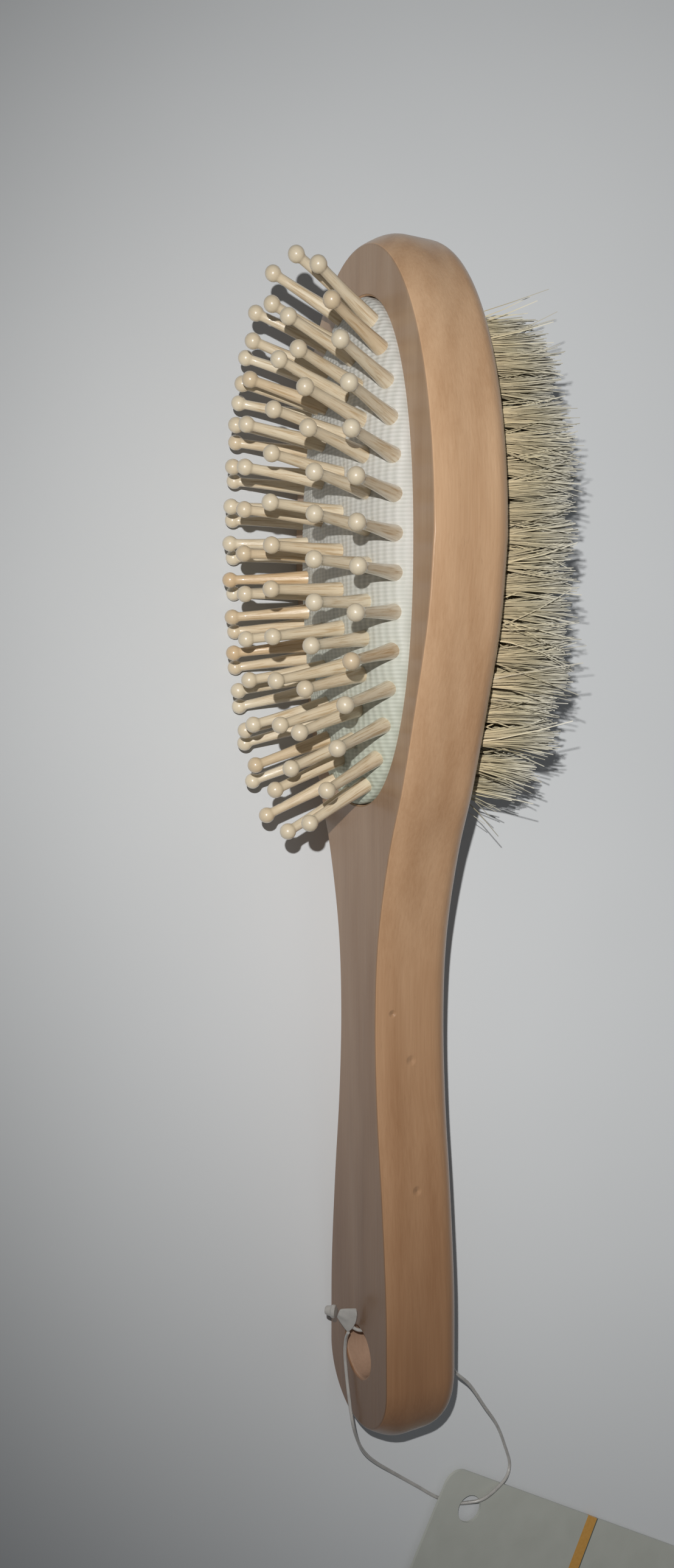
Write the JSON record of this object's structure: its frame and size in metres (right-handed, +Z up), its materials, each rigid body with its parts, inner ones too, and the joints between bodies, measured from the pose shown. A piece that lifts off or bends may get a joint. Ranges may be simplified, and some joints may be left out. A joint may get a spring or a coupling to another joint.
{
  "type": "double-sided grooming brush",
  "caption": "Wooden grooming brush with ball-tipped wooden pins in an air cushion on one face, dense bristle on the other, and a hang tag looped through the handle.",
  "frame": {"origin": "middle of the brush's bounding box on the surface it lies on, without its loop and tag", "axes": "+Z up, +Y along the brush from the handle's end to the head's tip, -X towards the pins and +X towards the bristle"},
  "size_m": [0.1185, 0.3397, 0.0604],
  "materials": {
    "lacquered_wood": "satin clear lacquer over fine brown grain",
    "cushion_rubber": "off-white, matte, fine woven emboss",
    "birch_pin": "pale polished turned wood",
    "natural_bristle": "dense cream bristle with darker tips, low sheen",
    "clear_nylon": "clear glossy nylon",
    "tag_card": "smooth off-white card with a plain orange stripe"
  },
  "bodies": {
    "handle": {"wood_body": "lacquered_wood", "cushion_membrane": "cushion_rubber", "bristle_row_1": "natural_bristle", "bristle_row_2": "natural_bristle", "bristle_row_3": "natural_bristle", "bristle_row_4": "natural_bristle", "bristle_row_5": "natural_bristle", "bristle_row_6": "natural_bristle", "bristle_row_7": "natural_bristle", "bristle_row_8": "natural_bristle", "bristle_row_9": "natural_bristle", "lock_leaf": "clear_nylon", "lock_socket": "clear_nylon", "loop_filament": "clear_nylon", "hang_tag": "tag_card"},
    "pin_field": {"pins_outer_upper": "birch_pin", "pins_outer_lower": "birch_pin", "pins_middle_upper": "birch_pin", "pins_middle_lower": "birch_pin", "pins_inner_upper": "birch_pin", "pins_inner_lower": "birch_pin"}
  },
  "joints": [
    {"name": "cushion_press", "type": "slide", "parent": "handle", "child": "pin_field", "axis": [0.9979, 0.0062, -0.0642], "range_m": [0, 0.002], "stiffness_N_per_m": 1200, "deforming": ["cushion_membrane"]}
  ]
}
